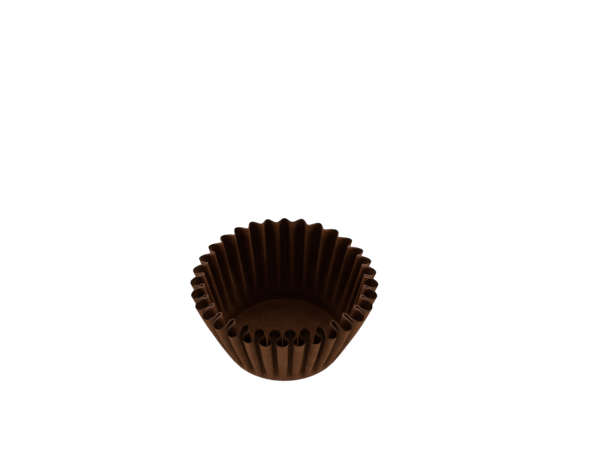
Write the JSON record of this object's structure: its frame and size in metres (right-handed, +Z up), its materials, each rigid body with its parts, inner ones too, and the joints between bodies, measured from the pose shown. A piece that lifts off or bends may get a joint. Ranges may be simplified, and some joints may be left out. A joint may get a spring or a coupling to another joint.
{
  "type": "cupcake liner",
  "caption": "Small fluted paper baking cup: a flat round bottom and a flared wall of pinched flutes, open at the top to hold batter or a sweet.",
  "frame": {"origin": "middle of the underside of the flat bottom", "axes": "+Z up through the open mouth, front at -Y, +X to the right seen from the front"},
  "size_m": [0.0503, 0.0498, 0.024],
  "materials": {
    "brown_paper": "satin"
  },
  "bodies": {
    "root": {"fluted_liner": "brown_paper"}
  },
  "joints": []
}
